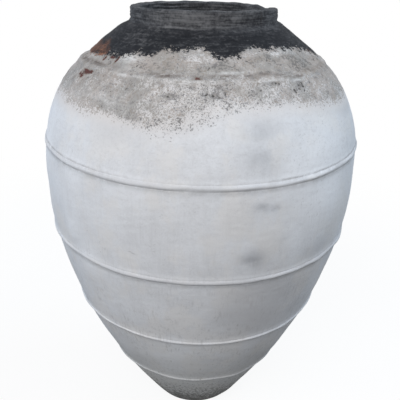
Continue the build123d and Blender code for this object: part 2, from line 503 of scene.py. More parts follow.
def wear_on(places):
    """The share of limewash that is left, 1 on the sound body, and the share of dark grains, 0 there."""
    azimuths, *columns = zip(*WEAR)
    listed = [along_list(places, list(zip(azimuths, values))) for values in columns]
    lower_edge, fade, chalk, soot, grain_reach = listed
    height = places[:, 2] / MM
    cover = 1 - (1 - chalk) * ramp(height, lower_edge - fade, lower_edge + FADE_ABOVE * fade)
    soot *= ramp(height, lower_edge - grain_reach, lower_edge + GRAIN_RISE - grain_reach / 2)
    return cover - LOST_ABOVE_BAND * ramp(height, *BAND_TOP), soot


front_cover = wear_on(front_line)[0]
print(f"at the front, {front_cover.min():.2f} of the limewash is left where it is most worn")

# %% [markdown]
# Just below the black edge more of the limewash has lasted, in tongues with gaps between them. They could be
# listed too. They run all round the jar in no order, so one more random field places them.

# %% Limewash below the black edge
TONGUES = Unevenness(1, 0.11, 0, 34)
TONGUE_RANGE = (-0.2, 1.4)
TONGUE_COVER = 0.18
TONGUE_DROP = 8 * MM
TONGUE_HALF_HEIGHT = 7 * MM


def chalk_tongues(places, above_black):
    """The limewash that is left in tongues just below the black edge, as a share to add."""
    away = (above_black + TONGUE_DROP) / TONGUE_HALF_HEIGHT
    return TONGUE_COVER * ramp(uneven(places, TONGUES), *TONGUE_RANGE) * np.exp(-(away ** 2))


print(f"tongues of limewash {TONGUE_DROP / MM:.0f} mm below the black edge")

# %% [markdown]
# ## Patches
#
# Stains, bare clay, dirt and rubbed spots are patches: a place, a half width and a half height in
# millimetres, and a strength. Each would be quick to paint by hand. As numbers they can be read, moved and
# compared. How strongly they mark a place is kept on the mesh as an attribute, which the paint reads.

# %% Patches
Patch = namedtuple("Patch", "azimuth height half_width half_height strength", defaults=[1])


def patch_list(*rows):
    """Patches from rows of their numbers, where a strength of 1 is left out."""
    return [Patch(*row) for row in rows]


def patches_on(places, patches):
    """How strongly the patches mark each place: in full in a patch's middle, about a third at its border."""
    azimuth = azimuth_of(places)
    radius = np.hypot(places[:, 0], places[:, 1])
    inside = np.zeros(len(places))
    for patch in patches:
        away = np.radians((azimuth - patch.azimuth + 180) % 360 - 180)
        across = away * radius / (patch.half_width * MM)
        up = (places[:, 2] - patch.height * MM) / (patch.half_height * MM)
        inside = np.maximum(inside, patch.strength * np.exp(-(across ** 2 + up ** 2)))
    return inside


print("a patch has", ", ".join(Patch._fields))

# %% [markdown]
# The limewash of the body is whiter in some places and duller in others, as brushed coats are. Some of
# these places are painted highlight and painted shade: whiter on the upper right of the belly, where the
# light falls strongly, and duller towards its right edge. A few grey stains and short scratches break it up.

# %% Marks on the limewash
STAINS = patch_list(
    (19, 1063, 36, 30, 0.6), (18.5, 1010, 42, 40, 0.75), (19, 895, 22, 9, 1.1), (22.5, 887, 30, 9, 1.2),
    (17, 751, 35, 25, 1.4), (27, 800, 30, 16, 0.3), (-150, 1010, 60, 50), (120, 860, 50, 30),
    (-105, 760, 40, 26), (170, 700, 46, 34),
)
# Whiter places, some of them painted highlight, as on the upper right of the belly where the light falls
# strongly.
FRESH_AND_LIT = patch_list(
    (30, 960, 50, 60, 0.8), (31, 800, 50, 60, 0.6), (42, 920, 120, 130), (-46, 930, 60, 60, 0.6),
    (-47, 770, 50, 50, 0.6), (-40, 690, 60, 70, 0.7), (-72, 920, 100, 150, 0.8),
    (50, 1000, 110, 60, 0.35), (150, 800, 200, 150),
)
# Duller places, some of them painted shade, as towards the right edge of the belly.
DULL_AND_SHADED = patch_list(
    (22, 580, 130, 120), (45, 725, 80, 50, 0.6), (66, 1075, 80, 34), (86, 975, 90, 110),
    (78, 680, 70, 90), (42, 520, 50, 40, 0.6), (-30, 1055, 90, 44, 0.6), (-20, 1038, 60, 40, 0.4),
    (24, 1070, 100, 30, 0.55), (-130, 900, 200, 120),
)
SCRATCHES = patch_list(
    (-21.5, 760, 13, 2), (-20.5, 756, 9, 1.8), (31, 700, 8, 1.5), (-40, 700, 10, 1.5), (3, 300, 3, 9),
    (-12, 340, 3, 7), (16, 520, 3, 7), (-27, 800, 1.6, 16), (9, 560, 1.6, 22),
)
print(f"{len(STAINS)} stains, {len(FRESH_AND_LIT)} fresh and {len(DULL_AND_SHADED)} dull places, {len(SCRATCHES)} scratches")

# %% [markdown]
# Round the shoulder the limewash has flaked off in a few spots, dark grains gather in smudges, and grime
# and painted shade dull the ground. The shoulder band is worn low, so what shows of it is mostly a pale line
# along its crest, partly chalk and partly painted highlight, and a dark crease above, partly dirt and partly
# painted shade. Both are drawn as rows of long, low patches, with a few broader patches of chalk nearby.

# %% Marks on the worn shoulder
FLAKES = patch_list(
    (-56, 1150, 26, 7), (-60, 1141, 14, 6, 0.8), (-52.5, 1153, 14, 6), (-1.5, 1169, 12, 2.4, 0.8),
    (-58, 1140, 18, 8, 0.85), (-43, 1187, 5, 11), (-47, 1190, 14, 4), (-52, 1184, 5, 8, 0.9),
    (-140, 1160, 18, 4),
)
SMUDGES = patch_list(
    (4, 1137, 26, 10), (6, 1150, 18, 10), (-12, 1132, 12, 7), (29, 1156, 17, 5), (42, 1144, 24, 12),
    (22, 1145, 8, 6), (4, 1189, 14, 4), (9, 1190, 14, 8), (-29, 1136, 9, 6), (34, 1206, 9, 6),
    (50, 1190, 60, 24, 0.5), (130, 1140, 24, 10), (-125, 1130, 20, 8),
)
# Grime that dulls the ground, partly painted shade, as on the right of the collar.
GRIME_AND_SHADE = patch_list(
    (46, 1191, 54, 14, 0.9), (74, 1178, 70, 24), (27, 1203, 40, 14), (9, 1190, 20, 8),
    (-16, 1212, 30, 14), (-62, 1174, 60, 14), (-14, 1184, 64, 13), (4, 1184, 60, 11, 0.9),
    (26, 1180, 40, 16, 0.6), (15, 1146, 38, 13, 1.4), (5, 1163, 40, 9), (54, 1167, 46, 13, 1.1),
    (-100, 1180, 90, 20), (130, 1190, 120, 24),
)
# Pale lines along the shoulder band's crest, partly chalk and partly painted highlight, and broader patches of
# chalk.
CHALK_AND_HIGHLIGHT_LINES = patch_list(
    (-31, 1164, 46, 3), (-6, 1162, 52, 3.5, 1.3), (12, 1178.5, 38, 2.5), (31, 1164, 44, 3.5),
    (42, 1158, 30, 4), (54, 1159, 30, 3.5, 0.7), (-55, 1099, 90, 14, 0.34), (-38, 1110, 80, 14, 0.5),
    (-31, 1174, 34, 5, 0.5), (-36, 1193, 36, 9, 1.1), (-64, 1180, 44, 4, 0.5), (-110, 1163, 120, 3),
    (150, 1163, 140, 3),
)
# Dark creases above the shoulder band's crest, partly dirt and partly painted shade.
SHADED_CREASES = patch_list(
    (-70, 1170, 50, 3, 1.3), (-55, 1172, 50, 3, 1.4), (-43, 1173, 40, 3, 0.7),
    (-15, 1170.5, 36, 2.8, 1.4), (-1.5, 1169.5, 18, 3), (9, 1172, 40, 3.5), (20, 1173, 40, 4),
    (28, 1173.5, 30, 3), (35, 1169.5, 34, 3), (43, 1165, 26, 3), (55, 1170, 34, 3, 0.8),
    (66, 1168, 50, 3), (-1, 1193, 10, 2), (-120, 1170, 120, 3), (140, 1170, 100, 3),
)
SMUDGE_SOOT = 0.15
print(f"{len(FLAKES)} flakes, {len(SMUDGES)} smudges and {len(GRIME_AND_SHADE)} grimy places")
print(f"{len(CHALK_AND_HIGHLIGHT_LINES)} chalked and {len(SHADED_CREASES)} dark lines")

# %% [markdown]
# At the left, and a little at the right, the black wash has come away from the clay. On the neck and the rim
# it is rubbed to grey in spots, and two light lines round the foot of the neck are painted highlight.

# %% Marks on the black wash
BARE_SPOTS = patch_list(
    (-76, 1196, 84, 17), (-62, 1199, 54, 17, 0.75), (-68, 1214, 44, 13, 0.62), (75, 1198, 22, 5, 0.5),
)
# Spots rubbed to grey, and two light lines round the foot of the neck that are painted highlight.
RUBBED_AND_LIT_SPOTS = patch_list(
    (-12.5, 1294, 20, 3), (1, 1287, 17, 5), (-32, 1293, 16, 3), (-34.5, 1278, 4, 4), (4, 1266, 36, 2.2),
    (-20, 1262, 40, 2), (21, 1281, 12, 4), (-55, 1280, 14, 4), (-10, 1282, 85, 12, 0.9),
    (-40, 1235, 50, 18, 0.7),
)
print(f"{len(BARE_SPOTS)} bare and {len(RUBBED_AND_LIT_SPOTS)} rubbed spots")

# %% [markdown]
# ## Pits and dents
#
# The worn limewash has lost grains and left pits, and a few of the largest show from a step away. Bump alone
# could suggest them. Real hollows are better, because their rims catch the light from any side. A pit also
# leaves its depth on the mesh as an attribute, so that the paint can put painted shade in the same spot. Dents
# are larger. They make a ledge at the left shoulder, flatten the right one, and cut a nick down the neck.

# %% Pits and dents
LARGE_PITS = [
    (-29, 1136, 5), (-12, 1133, 5), (1.5, 1138, 5.5), (2, 1143, 5), (4, 1136, 5), (6, 1134, 5),
    (8.5, 1140, 5), (3, 1188, 4.5), (5, 1187, 4.5), (22.5, 1145, 5), (24.5, 1154, 4.5), (25.5, 1202, 5),
    (27, 1157, 5), (28.5, 1156, 5), (30, 1156, 5.5), (31.5, 1154, 5), (36, 1141, 4.5), (37.5, 1138, 5.5),
    (38, 1133, 5), (40.5, 1139, 5), (41, 1146, 5), (42.5, 1133, 5), (43, 1142, 5.5), (43, 1148, 6),
    (44, 1150, 5), (46, 1144, 4.5), (69, 1180, 6),
]
SMALL_PITS = 420
SMALL_PIT_HEIGHTS = (1060, 1215)
SMALL_PIT_SIZE = 2.2
SMALL_PIT_SPREAD = 2.4
MOSTLY_SMALL = 0.4
FULL_DEPTH_SIZE = 6
PITS_SEED = 21
DENTS = patch_list(
    (-92, 1191, 110, 10, 3.5), (-96, 1175, 110, 8, 6.5), (-108, 1167, 90, 10, 7),
    (-92, 1142, 60, 12, 2.5), (-95, 1257, 90, 9, 4), (88, 1162, 90, 20, 2.5), (45, 1283, 2.6, 22, 3),
)


def scattered_pits():
    """Places and sizes of the pits: the large ones, and many small ones all over the worn limewash."""
    draw = np.random.default_rng(PITS_SEED)
    azimuth = draw.uniform(-180, 180, SMALL_PITS)
    height = draw.uniform(*SMALL_PIT_HEIGHTS, SMALL_PITS)
    size = SMALL_PIT_SIZE + SMALL_PIT_SPREAD * draw.power(MOSTLY_SMALL, SMALL_PITS)
    return np.concatenate([LARGE_PITS, np.transpose([azimuth, height, size])])


def pit_depth(places, worn):
    """How deep the pits are at each place, from 0 to about 1."""
    depth = np.zeros(len(places))
    near = np.nonzero(worn > 0)[0]
    for azimuth, height, size in scattered_pits():
        radius = np.interp(height * MM, levels, wall_radius)
        turn = math.radians(azimuth)
        middle = np.array((radius * math.sin(turn), -radius * math.cos(turn), height * MM))
        close = near[np.abs(places[near, 2] - middle[2]) < size * MM]
        away = np.linalg.norm(places[close] - middle, axis=1) / (size * MM)
        depth[close] = np.maximum(depth[close], np.clip(1 - away ** 2, 0, 1) * size / FULL_DEPTH_SIZE)
    return depth


def dented(places):
    """How far the dents go in at each place, in metres. Their strengths are depths in millimetres."""
    return MM * sum(patches_on(places, [dent]) for dent in DENTS)


print(f"{len(scattered_pits())} pits and {len(DENTS)} dents")

# %% [markdown]
# ## The bands
#
# Dirt settles in the corner above a band, and rain can't wash it out below one. Shade falls into the same
# corners, most of all below a band, so the darkening there is painted shade and dirt together. An Ambient
# Occlusion node would darken every corner alike. The edges of the bands are known from their own outlines,
# so the painted shade and dirt are measured from them, and each corner gets its own amount.

# %% Painted shade and dirt along the bands
# The corners beside the bands get painted shade and dirt, the most below a band, where its shadow falls.
CORNER_SHADE_WIDTHS = (5.5 * MM, 4 * MM)
BELOW, ABOVE = 0, 1
ShadedCorner = namedtuple("ShadedCorner", "band side dirt")
SHADE_OVER_THE_GIRTH = [(-130, 0.4), (-85, 0.6), (-35, 0.4), (-22, 0.05), (20, 0.1), (27, 0.6), (50, 0.5)]
SHADED_CORNERS = [
    ShadedCorner("shoulder_band", BELOW, [(0, 0.12)]),
    ShadedCorner("girth_band", ABOVE, SHADE_OVER_THE_GIRTH),
    ShadedCorner("girth_band", BELOW, [(0, 0.52)]),
    ShadedCorner("middle_band", ABOVE, [(0, 0.15)]),
    ShadedCorner("middle_band", BELOW, [(0, 0.4)]),
    ShadedCorner("lower_band", BELOW, [(0, 0.3)]),
    ShadedCorner("foot_band", BELOW, [(0, 0.3)]),
]


def span_of(band):
    """The heights between which a band lies on the wall."""
    return sections[band][:, 1].min(), sections[band][:, 1].max()


def shade_and_dirt_in_corners(places):
    """How much painted shade and dirt lies in the corners above and below the bands."""
    dirt = np.zeros(len(places))
    for corner in SHADED_CORNERS:
        away = (places[:, 2] - span_of(corner.band)[corner.side]) / CORNER_SHADE_WIDTHS[corner.side]
        dirt = np.maximum(dirt, along_list(places, corner.dirt) * np.exp(-(away ** 2)))
    return dirt


print(f"dirt in {len(SHADED_CORNERS)} corners of {len(bands)} bands")

# %% [markdown]
# Wear and coats of limewash have softened the bands. A Bevel modifier would only round their edges. Here a
# band keeps part of its height at the crest and runs out to nothing at its edges, so it rises like a bell,
# and its crest wanders up and down a little. Limewash fills the corners beside it, apart from those of the
# shoulder band. Crests low on the jar get a painted highlight, a little whiter than the wall, and those higher
# up a painted shade that dulls them.

# %% Softened bands
FILLED_BANDS = [band for band in bands if band != "shoulder_band"]
FILL_REACH = 7 * MM
CORNER_FILL = 1.6 * MM
LOW_BANDS = (0.50, 0.65)
BAND_WORN_OFF = (0.18, 0.38)
BAND_WEAR = Unevenness(0.25, 0.16, 1, 31)
LEAST_LEFT = 0.4
BAND_WANDER = Unevenness(0.6 * MM, 0.08, 1, 35)
CREST = 4 * MM
# Painted highlight on low crests, and painted shade on higher ones.
CREST_HIGHLIGHT_AND_SHADE = (0.3, -0.5)
band_levels = sorted((sum(span_of(band)) / 2, band) for band in bands)


def crest_near(height):
    """How far the nearest bands stand proud of the wall at their crests."""
    crests = []
    for level, band in band_levels:
        beyond = sections[band][:, 0] - np.interp(sections[band][:, 1], levels, wall_radius)
        crests.append((beyond * np.cos(np.interp(level, levels, wall_lean))).max())
    return np.interp(height, [level for level, band in band_levels], crests)


def corner_fill(height):
    """1 on a band, falling to 0 a finger's width above and below it."""
    fill = np.zeros(len(height))
    for band in FILLED_BANDS:
        low, high = span_of(band)
        beyond = np.maximum(np.maximum(low - height, height - high), 0)
        fill = np.maximum(fill, np.exp(-((beyond / FILL_REACH) ** 2)))
    return fill


def worn_off_bands(places, proud, on_band):
    """How much of a band is worn off at each place: least at its crest, and all of it at its edges."""
    worn_off = np.interp(places[:, 2], LOW_BANDS, BAND_WORN_OFF) * (1 + uneven(places, BAND_WEAR))
    return np.clip(proud, 0, None) * (1 - on_band * np.clip(1 - worn_off, LEAST_LEFT, 1))


for level, band in band_levels:
    print(f"{band}: {level:.3f} m up, {crest_near(level) / MM:.1f} mm proud before wear")

# %% [markdown]
# ## Pushing a ring into shape
#
# All of this is put together here. A Displace modifier would push each ring along its own normals, and rings
# that meet would part. Instead, a place is pushed square to the wall, so the push is split into a part along
# the radius and a part along the height by the wall's lean. Only the outer skin is pitted and dented. The
# rim gets its tilt and its chip last, and the underside of the floor stays flat on the ground.

# %% One push for all rings
SKIN_DEPTH = 5 * MM
CRUST = Unevenness(0.5 * MM, 0.021, 1, 32)
PIT_DEPTH = 2.4 * MM
PITTED_WEAR = (0.1, 0.5)
BLACK_HIDES = 0.8
BLACK_FADE = 18 * MM
AXIS_REACH = 60 * MM
GROUND_REACH = (1 * MM, 30 * MM)
RIM_RAMP = (NECK_FOOT, 1293 * MM)
RIM_JITTER = Unevenness(0.4 * MM, 0.03, 0, 33)
PATCH_MARKS = {
    "stain": STAINS, "scratch": SCRATCHES, "bare": BARE_SPOTS, "flake": FLAKES, "rubbed": RUBBED_AND_LIT_SPOTS,
    "grime_and_shade": GRIME_AND_SHADE, "chalk_and_highlight": CHALK_AND_HIGHLIGHT_LINES,
}


def shaped(places):
    """The places of a true ring as the potter and the weather left them, and the marks for the paint."""
    radius = np.hypot(places[:, 0], places[:, 1])
    height = places[:, 2]
    lean = np.interp(height, levels, wall_lean)
    proud = (radius - np.interp(height, levels, wall_radius)) * np.cos(lean)
    on_band = np.clip(proud / crest_near(height), 0, 1)
    skin = ramp(proud, -SKIN_DEPTH, 0)

    above_black = height - along_list(places, BLACK_EDGE) * MM
    cover, soot = wear_on(places)
    cover += chalk_tongues(places, above_black)
    worn = (1 - cover) * (1 - BLACK_HIDES * ramp(above_black, 0, BLACK_FADE)) * skin
    pit = pit_depth(places, worn) * ramp(worn, *PITTED_WEAR)

    push = hand_wobble(places) + CORNER_FILL * corner_fill(height) * skin
    push -= worn_off_bands(places, proud, on_band)
    push += worn * uneven(places, CRUST) - PIT_DEPTH * pit - dented(places) * skin
    push *= ramp(radius, 0, AXIS_REACH)
    moved = places.copy()
    moved[:, :2] *= (1 + push * np.cos(lean) / np.maximum(radius, WELD))[:, None]
    moved[:, 2] -= push * np.sin(lean) * ramp(height, *GROUND_REACH)
    moved[:, 2] += on_band * uneven(places, BAND_WANDER)
    rim_height = along_list(places, RIM_HEIGHTS) * MM + uneven(places, RIM_JITTER)
    moved[:, 2] += rim_height * ramp(height, *RIM_RAMP)

    # Painted highlight on the crests of the low bands, and painted shade that dulls the crests higher up.
    crest_highlight_and_shade = np.interp(height, LOW_BANDS, CREST_HIGHLIGHT_AND_SHADE) * ramp(proud, 0, CREST)
    marks = {name: patches_on(places, patches) for name, patches in PATCH_MARKS.items()}
    marks |= {
        "above_black": above_black,
        "cover": cover,
        "soot": soot + SMUDGE_SOOT * patches_on(places, SMUDGES),
        "pit": pit,
        # Whiter and duller places, partly painted highlight and shade, together with the crests' painted
        # highlight and shade.
        "lime_tone_and_light": patches_on(places, FRESH_AND_LIT) - patches_on(places, DULL_AND_SHADED) + crest_highlight_and_shade,
        # Painted shade and dirt in the corners beside the bands and in the creases above the shoulder band.
        "corner": np.maximum(shade_and_dirt_in_corners(places), patches_on(places, SHADED_CREASES)) * skin,
    }
    return moved, marks


front_moved, front_marks = shaped(front_line)
print(f"the front moves by up to {np.linalg.norm(front_moved - front_line, axis=1).max() / MM:.1f} mm")
print("marks:", ", ".join(front_marks))

# %% [markdown]
# ## Turning an outline into a mesh
#
# Blender's Screw modifier or Spin would turn an outline too. Building the faces from arrays is as short, and
# it gives even rows: fine where the ring shows, coarse in the joints and on the inside. A face knows whether
# it shows, so that the finish goes on the outside and bare clay is left inside.

# %% Rows of a ring
SKIN_STEP = 3.4 * MM
BAND_STEP = 2 * MM
INSIDE_STEP = 16 * MM
SHOW_TOLERANCE = 0.6 * MM
bore = next(mount for mount in frame["record"]["mounts"] if mount["name"] == "mouth_bore")
BORE_RADIUS = bore["dims"]["r_mm"] * MM
BORE_FOOT = JAR_TOP - 50 * MM
RIM_EDGE_FOOT = JAR_TOP - 8 * MM


def shows(points):
    """Whether points of a section are on the outside of the jar, on its rim or in the bore of its neck."""
    radius, height = np.transpose(points)
    outside = radius > np.interp(height, levels, wall_radius) - SHOW_TOLERANCE
    in_mouth = (height > BORE_FOOT) & (radius < BORE_RADIUS + SHOW_TOLERANCE)
    return outside | in_mouth | (height > RIM_EDGE_FOOT)


def rows_of(name):
    """The points of a node's outline that its rows of faces run through, and whether the outline closes."""
    fine_step = BAND_STEP if name in bands else SKIN_STEP
    stretches = stretches_of(sections[name])
    rows = []
    for stretch in stretches:
        half = len(stretch) // 2
        middle = stretch[[half - 1, half]].mean(0, keepdims=True)
        step = fine_step if shows(middle)[0] else INSIDE_STEP
        rows.append(even_points(stretch, step)[:-1])
    closed = np.allclose(stretches[-1][-1], stretches[0][0])
    if not closed:
        rows.append(stretches[-1][-1:])
    return np.concatenate(rows), closed


print("rows:", {name: len(rows_of(name)[0]) for name in sections})

# %% [markdown]
# The rows are turned about the axis in equal steps, and faces join each step to the next. A disc's rows meet
# on the axis, where they are welded into one point.

# %% Turning
SHARP = math.radians(50)
SEGMENT_GROUP = 8


def weld_poles(mesh):
    """Joins the points on the axis of a disc, where the turned rows shrink to nothing."""
    welded = bmesh.new()
    welded.from_mesh(mesh)
    poles = [vert for vert in welded.verts if vert.co.xy.length < WELD]
    bmesh.ops.remove_doubles(welded, verts=poles, dist=WELD)
    welded.to_mesh(mesh)
    welded.free()


def turned(name):
    """A mesh of a node's ring, with its wear, its marks, and slot 1 for the faces that don't show."""
    rows, closed = rows_of(name)
    radius, height = rows.T
    segments = SEGMENT_GROUP * round(2 * math.pi * radius.max() / SKIN_STEP / SEGMENT_GROUP)
    turn = np.linspace(0, 2 * math.pi, segments, endpoint=False)[:, None]
    places = np.stack([np.cos(turn) * radius, np.sin(turn) * radius, 0 * turn + height], axis=-1)
    places, marks = shaped(places.reshape(-1, 3))

    count = len(rows)
    low = np.arange(count if closed else count - 1)
    high = (low + 1) % count
    here = np.arange(segments)[:, None] * count
    beside = np.roll(here, -1, axis=0)
    quads = np.stack([here + low, beside + low, beside + high, here + high], axis=-1).reshape(-1, 4)
    mesh = bpy.data.meshes.new(name)
    mesh.from_pydata(places.tolist(), [], quads.tolist())
    hidden = ~shows((rows[low] + rows[high]) / 2)
    mesh.polygons.foreach_set("material_index", np.tile(hidden, segments).astype(np.int32))
    mesh.polygons.foreach_set("use_smooth", np.ones(len(quads), bool))
    for mark_name, values in marks.items():
        attribute = mesh.attributes.new(mark_name, "FLOAT", "POINT")
        attribute.data.foreach_set("value", values.astype(np.float32))
    if not closed:
        weld_poles(mesh)
    mesh.set_sharp_from_angle(angle=SHARP)
    return mesh


print(f"a ring is turned in steps of about {SKIN_STEP / MM:.1f} mm")

# %% [markdown]
# ## Coats of finish
#
# A coat is a colour, a roughness and a relief in metres, which a Bump node turns into small shadows. One
# tangle of nodes could hold a whole finish. It is easier to follow as coats laid over each other with masks,
# as the potter and the years did: clay, limewash, the wear and dirt on it, and black wash over the shoulder.

# %% Laying coats
SPECULAR = 0.2
Coat = namedtuple("Coat", "colour rough relief")
finishes = {}


def lay(under, over, mask):
    """One coat over another, as far as the mask says."""
    rough = under.rough + (over.rough - under.rough) * mask
    relief = under.relief + (over.relief - under.relief) * mask
    return Coat(mask.tint(under.colour, over.colour), rough, relief)


def mark(place, name):
    """An attribute that the turned mesh carries."""
    return place.node("Attribute", {"attribute_name": name}, output="Fac")


def finish(name, coats):
    """Makes a material whose surface is what the given function lays down at a place."""
    material = bpy.data.materials.new(name)
    material.use_nodes = True
    tree = material.node_tree
    tree.nodes.clear()
    place = Paint(tree).node("TexCoord", output="Object")
    coat = coats(place)
    bump = place.node("Bump", None, {"Distance": 1.0, "Height": coat.relief})
    sockets = {"Base Color": coat.colour, "Roughness": coat.rough, "Normal": bump}
    sockets["Specular IOR Level"] = SPECULAR
    place.node("OutputMaterial", None, {"Surface": place.node("BsdfPrincipled", None, sockets)})
    finishes[name] = material
    print(f"{name}: {len(tree.nodes)} nodes")


print("a coat has", ", ".join(Coat._fields))

# %% [markdown]
# ### Fired clay
#
# The body is coarse clay with crushed grit in it. It shows inside the jar and where the finishes have come
# away. One flat brown would look like plastic. Broad clouds give the uneven firing, and small scattered
# grains give the pale grit.

# %% Clay
CLAY_DARK = colour(0.12, 0.062, 0.045)
CLAY_PALE = colour(0.36, 0.16, 0.094)
GRIT_PALE = colour(0.38, 0.28, 0.21)


def fired_clay(place):
    firing = place.cloud(0.09, detail=6, roughness=0.6)
    grit = place.grains(0.006).between(0.34, 0.12) * place.cloud(0.012).between(0.5, 0.62)
    tone = firing.between(0.25, 0.75).tint(CLAY_DARK, CLAY_PALE)
    relief = 0.5 * MM * place.cloud(0.007, detail=5) + 0.25 * MM * grit
    return Coat(grit.tint(tone, GRIT_PALE), 0.92, relief)


finish("bare_clay", fired_clay)

# %% [markdown]
# ### Limewash
#
# Limewash is chalk white and quite flat. It went on with a wide brush, so it is a little thin in places.
# Flecks have come off here and there. Thin runs of rain have greyed it, most of all low down, and fine
# scuffs lie all over, most of all high up. A white with no marks would look like plastic, but each mark
# stays faint, or the wash would look like cloth.

# %% Limewash
LIME_WHITE = colour(0.79, 0.80, 0.82)
LIME_THIN = colour(0.71, 0.715, 0.73)
LIME_WARM = colour(0.79, 0.775, 0.76)
# Colours of the whiter and duller places, partly painted highlight and painted shade.
LIME_FRESH_AND_LIT = colour(0.88, 0.89, 0.91)
LIME_DULL_AND_SHADED = colour(0.60, 0.60, 0.61)
STAIN_GREY = colour(0.36, 0.37, 0.39)
FLECK_GREY = colour(0.40, 0.39, 0.385)
# The grey of the painted shade and dirt in the corners beside the bands.
CORNER_SHADE_GREY = colour(0.27, 0.262, 0.255)
RUNS_GROW = (0.85, 0.40)
SCUFFS_GROW = (0.80, 1.0)


def limewash(place):
    broad = place.cloud(0.13, detail=6, roughness=0.62)
    brushed = place.stretched(1, 1, 0.35).cloud(0.03, detail=5)
    fine = place.cloud(0.005, detail=3)
    thin = (0.55 * broad + 0.2 * brushed + 0.25 * fine).between(0.40, 0.62)
    # Whiter and duller places, partly painted highlight and shade.
    lime_tone_and_light = mark(place, "lime_tone_and_light") + 0.5 * (broad - 0.5)
    warm = place.stretched(1, 1, 0.7).cloud(0.1, detail=5, roughness=0.6).between(0.45, 0.62)
    tone = (0.7 * warm).tint(thin.tint(LIME_WHITE, LIME_THIN), LIME_WARM)
    tone = (0.9 * lime_tone_and_light.between(0.0, 0.9)).tint(tone, LIME_FRESH_AND_LIT)
    tone = (0.8 * lime_tone_and_light.between(0.0, -0.9)).tint(tone, LIME_DULL_AND_SHADED)

    runs = place.stretched(1, 1, 0.02).cloud(0.007, detail=4, roughness=0.65)
    run_marks = runs.between(0.45, 0.70) * place.cloud(0.045, detail=5).between(0.36, 0.62)
    run_marks *= 0.13 + 0.33 * place.height().between(*RUNS_GROW)
    flecks = (0.6 * place.cloud(0.007, detail=3) + 0.4 * broad).between(0.61, 0.65) * 0.3
    scratches = (mark(place, "scratch") * (0.4 + place.cloud(0.006))).between(0.3, 0.6) * 0.45
    scuffs = place.stretched(0.6, 0.6, 1).cloud(0.008, detail=5, roughness=0.75).between(0.46, 0.70)
    scuffs *= 0.11 + 0.09 * place.height().between(*SCUFFS_GROW)
    tone = (flecks | run_marks | scratches | scuffs).tint(tone, FLECK_GREY)

    stain = mark(place, "stain") * place.cloud(0.03, detail=5).between(0.1, 0.6)
    tone = (0.55 * stain).tint(tone, STAIN_GREY)
    # Painted shade and dirt in the corners beside the bands.
    dirt = mark(place, "corner") * place.cloud(0.02, detail=4).between(0.25, 0.60)
    tone = (0.55 * dirt).tint(tone, CORNER_SHADE_GREY)
    relief = 0.10 * MM * brushed + 0.10 * MM * fine + 0.3 * MM * place.cloud(0.014)
    return Coat(tone, 0.93, relief - 0.3 * MM * flecks)


print(f"limewash with a white of {LIME_WHITE[:3]}")

# %% [markdown]
# ### Greyer at the foot, and soil
#
# The lower part of the jar is painted greyer and darker towards the ground, in patches. A gradient alone
# would look like a dipped jar, so noise breaks it up. Close to the ground, splashed soil leaves dark
# speckles and blotches. It is a thin coat: it takes part of the colour and leaves the relief as it was.

# %% Foot dirt
# The grey that the lower part takes on towards the ground.
FOOT_GREY = colour(0.49, 0.488, 0.465)
SOIL_DARK = colour(0.09, 0.088, 0.082)
GREYER_BELOW = (0.52, 0.08)
SPECKLED_BELOW = (0.13, 0.04)
BLOTCHED_BELOW = (0.075, 0.035)


def foot_dirt(place, under):
    height = place.height()
    spread = place.cloud(0.08, detail=6, roughness=0.65)
    speckle = place.cloud(0.008, detail=5, roughness=0.75)
    splashes = place.cloud(0.03, detail=6, roughness=0.75)
    greyer = (height + 0.16 * (spread - 0.5)).between(*GREYER_BELOW)
    speckled = (0.9 * height + 0.8 * (speckle - 0.5)).between(*SPECKLED_BELOW)
    blotches = (height + 0.45 * (splashes - 0.5)).between(*BLOTCHED_BELOW)
    soiled = lay(under, Coat(FOOT_GREY, 0.95, under.relief), 0.7 * greyer)
    return lay(soiled, Coat(SOIL_DARK, 0.95, under.relief), 0.72 * speckled | 0.8 * blotches)


def limewashed(place):
    return foot_dirt(place, limewash(place))


finish("limewashed_clay", limewashed)

# %% [markdown]
# ### Worn limewash
#
# Below the shoulder the limewash is half gone. What is left is a crust of white grains on grey and brownish
# ground with dark grains in it, so from a step away it looks like salt and pepper. Fine noise is compared
# with the share of limewash that the mesh carries: where much is left, hardly any ground shows, and where
# little is left, a few white grains do. The dark grains are done in the same way with their own share. The
# pits of the mesh get painted shade, so that colour and shape agree.

# %% Ground and grains
GROUND_BEIGE = colour(0.442, 0.394, 0.361)
GROUND_GREY = colour(0.358, 0.344, 0.326)
GROUND_DULL = colour(0.275, 0.242, 0.207)
GRAIN_SIZE = 0.005


def worn_ground(place, soot):
    broad = place.cloud(0.08, detail=5, roughness=0.6)
    coarse = place.cloud(0.012, detail=4, roughness=0.65)
    tone = (broad + 1.2 * (soot - 0.5)).between(0.40, 0.64).tint(GROUND_BEIGE, GROUND_GREY)
    tone = (0.6 * coarse.between(0.52, 0.36)).tint(tone, GROUND_DULL)
    return Coat(tone, 0.95, 0.6 * MM * coarse)


def clumped_grains(place, clump_size, clump_share):
    """Noise as fine as grains, from 0 to 1, which is gathered in clumps of about this size in metres."""
    fine = place.cloud(GRAIN_SIZE, detail=3, roughness=0.65)
    clumps = place.cloud(clump_size, detail=5, roughness=0.65)
    return (1 - clump_share) * fine + clump_share * clumps


print(f"grains of about {GRAIN_SIZE / MM:.0f} mm")

# %% Worn limewash
GRAIN_DARK = colour(0.15, 0.141, 0.135)
CHALK_DUSTY = colour(0.70, 0.668, 0.65)
# The dark of the painted shade in the pits.
PIT_SHADE_DARK = colour(0.085, 0.08, 0.075)
FLAKE_RED = colour(0.13, 0.05, 0.045)
FLAKE_BROWN = colour(0.075, 0.042, 0.036)
# The brown of the painted shade and dirt in the creases and corners.
CORNER_SHADE_BROWN = colour(0.165, 0.14, 0.124)
# The pale of the crest lines, partly chalk and partly painted highlight.
LINE_CHALK_AND_HIGHLIGHT = colour(0.74, 0.73, 0.715)


